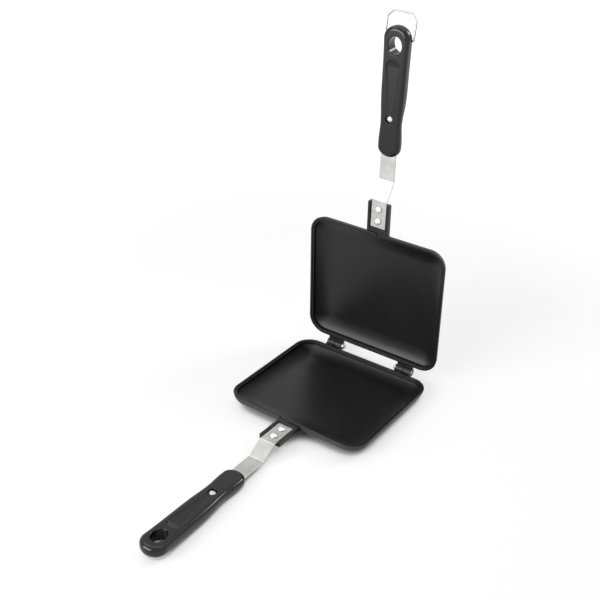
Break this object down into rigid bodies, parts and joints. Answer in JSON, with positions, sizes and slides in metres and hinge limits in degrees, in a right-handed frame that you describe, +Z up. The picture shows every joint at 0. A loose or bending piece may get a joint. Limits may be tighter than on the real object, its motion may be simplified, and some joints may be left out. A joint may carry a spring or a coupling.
{
  "type": "hot sandwich toaster",
  "caption": "Hinged camping sandwich toaster: square coated pans closing rim to rim, bent steel handle strips with moulded grips, and a wire bail that holds the grips shut.",
  "frame": {"origin": "centre of the flat face under the lower pan", "axes": "+Z up out of the lower pan's cavity, -Y from the lower pan towards its handle, +X to the right for someone who holds the handle"},
  "size_m": [0.147, 0.3405, 0.3644],
  "materials": {
    "pan_casting": "matt black non-stick coating, satin on the outside",
    "strip_steel": "satin stainless",
    "rivet_steel": "bright stainless",
    "grip_phenolic": "gloss black moulded phenolic",
    "bright_plating": "bright plated steel"
  },
  "bodies": {
    "lower_half": {"lower_pan": "pan_casting", "hinge_pin_left": "bright_plating", "hinge_pin_right": "bright_plating", "lower_handle_strip": "strip_steel", "lower_front_rivet": "rivet_steel", "lower_rear_rivet": "rivet_steel", "lower_grip": "grip_phenolic", "lower_grip_screw": "bright_plating", "lower_grip_washer": "bright_plating", "lower_grip_nut": "bright_plating"},
    "upper_half": {"upper_pan": "pan_casting", "upper_handle_strip": "strip_steel", "upper_front_rivet": "rivet_steel", "upper_rear_rivet": "rivet_steel", "upper_grip": "grip_phenolic", "upper_grip_screw": "bright_plating", "upper_grip_washer": "bright_plating", "upper_grip_nut": "bright_plating"},
    "bail": {"bail_wire": "bright_plating"}
  },
  "joints": [
    {"name": "lid_hinge", "type": "hinge", "parent": "lower_half", "child": "upper_half", "pos_m": [0, 0.07285, 0.0105], "axis": [1, 0, 0], "range_deg": [0, 87]},
    {"name": "bail_pivot", "type": "hinge", "parent": "upper_half", "child": "bail", "pos_m": [0.00311, 0.07264, 0.3298], "axis": [0.9998, 0.001, -0.0192], "range_deg": [-155, 163]}
  ]
}
